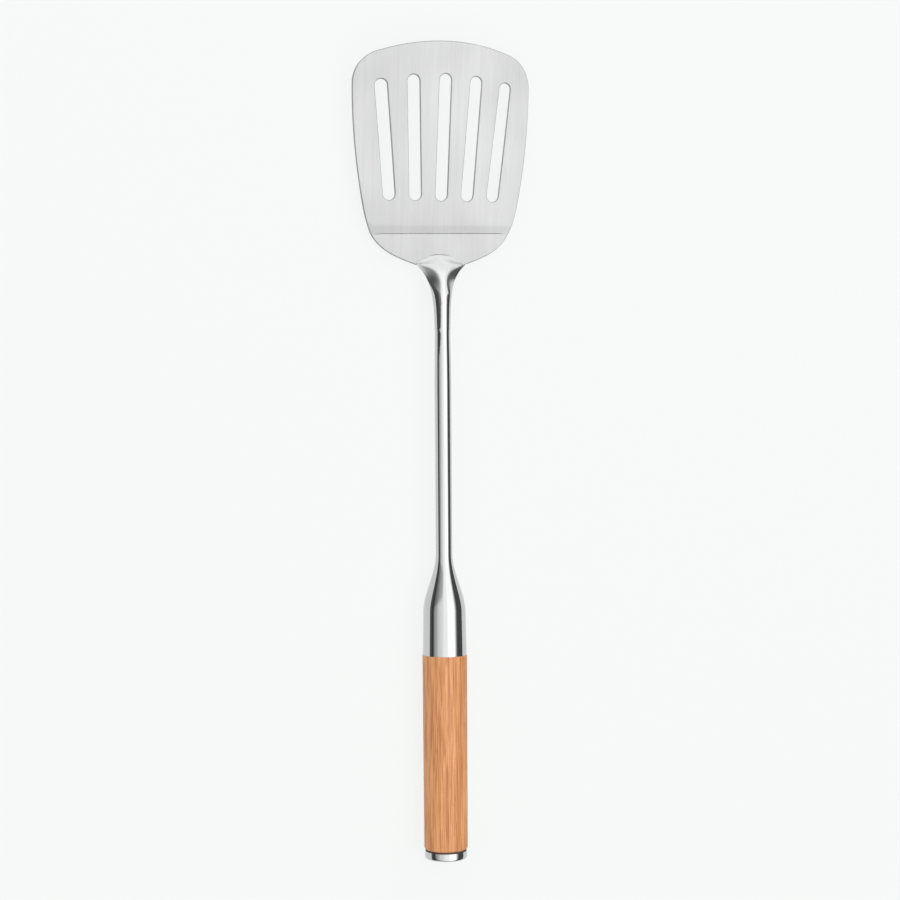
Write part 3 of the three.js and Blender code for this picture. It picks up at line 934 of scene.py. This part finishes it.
strength = strength.at_most(full_light - forward.rise(8.0, 20.0) * 0.6)
strength = strength + (1.35 - strength) * back_end
glow = add_node(tree, "ShaderNodeEmission", {"Color": white, "Strength": strength})
connect(tree, tree.nodes["Material Output"], {"Surface": glow.outputs[0]})


def stiff_paper(name, roughness, light):
    """A dark paper that shows an even light of its own in the steel."""
    material, tree, shader = new_material(name)
    connect(tree, shader, {
        "Base Color": (0.03, 0.03, 0.03, 1.0),
        "Roughness": roughness,
        "Emission Color": white,
        "Emission Strength": light,
    })
    return material, tree, shader


card, _, _ = stiff_paper("black card", 0.9, 0.05)
board, _, _ = stiff_paper("white board", 0.5, 1.3)
flag, tree, shader = stiff_paper("grey flag", 0.9, 0.05)
connect(tree, shader, {"Emission Strength": object_place(tree)[2].rise(0.07, 0.12) * 0.2 + 0.05})

left, right, front, back, top = -6.2, 1.8, -5.0, 5.0, cloth_height
card_end = 1.3
beside = 0.08
board_front, board_back, board_low, board_high = 0.094, 0.145, 0.045, 0.1
flag_front, flag_back, flag_lean, flag_high = 0.042, 0.102, 0.04, 0.225
paper_level = 0.0005
out_of_sight = [
    sheet("cloth_light", [
        (left, front, top), (left, back, top), (right, back, top), (right, front, top)], cloth),
    sheet("left_card", [
        (left, front, 0), (left, back, 0), (left, back, top), (left, front, top)], card),
    sheet("right_card", [
        (right, front, 0), (right, front, top), (right, card_end, top), (right, card_end, 0)], card),
    sheet("right_board", [
        (right, card_end, 0), (right, card_end, top), (right, back, top), (right, back, 0)], board),
    sheet("front_board", [
        (left, front, 0), (left, front, top), (right, front, top), (right, front, 0)], board),
    sheet("back_board", [
        (left, back, 0), (right, back, 0), (right, back, top), (left, back, top)], board),
]
close_by = [
    sheet("small_board", [
        (beside, board_front, board_low), (beside, board_front, board_high),
        (beside, board_back, board_high), (beside, board_back, board_low)], board),
    sheet("small_flag", [
        (-beside, flag_front, 0), (-beside, flag_back, 0),
        (-beside, flag_back + flag_lean, flag_high), (-beside, flag_front + flag_lean, flag_high)], flag),
    sheet("black_paper", [
        (left, front, paper_level), (-beside, front, paper_level),
        (-beside, back, paper_level), (left, back, paper_level)], card),
]
for thing in out_of_sight + close_by:
    thing.visible_camera = False
for thing in close_by:
    thing.visible_shadow = False
    thing.visible_diffuse = False

world = bpy.data.worlds.new("pale room")
bpy.context.scene.world = world
world.use_nodes = True
connect(world.node_tree, world.node_tree.nodes["Background"], {"Color": (*pale, 1.0), "Strength": 1.0})

# ---------------------------------------------------------------------------------------------------------
# Camera. It stands above the spatula and a little to its left, with a long lens, and is turned so that the
# spatula stands upright in the picture, with the blade at the top.
lens = bpy.data.cameras.new("camera")
lens.lens = 80.0
lens.sensor_width = 36.0
camera = bpy.data.objects.new("camera", lens)
bpy.context.scene.collection.objects.link(camera)
right_way = Vector((0.957991, -0.006715, 0.286719))
up_way = Vector((0.017396, 0.999246, -0.034721))
camera_place = (-0.265124, 0.037689, 0.908019)
stand = Matrix.Identity(4)
stand.col[0] = (*right_way, 0.0)
stand.col[1] = (*up_way, 0.0)
stand.col[2] = (*right_way.cross(up_way), 0.0)
stand.col[3] = (*camera_place, 1.0)
camera.matrix_world = stand
bpy.context.scene.camera = camera
bpy.context.scene.view_settings.view_transform = "Standard"
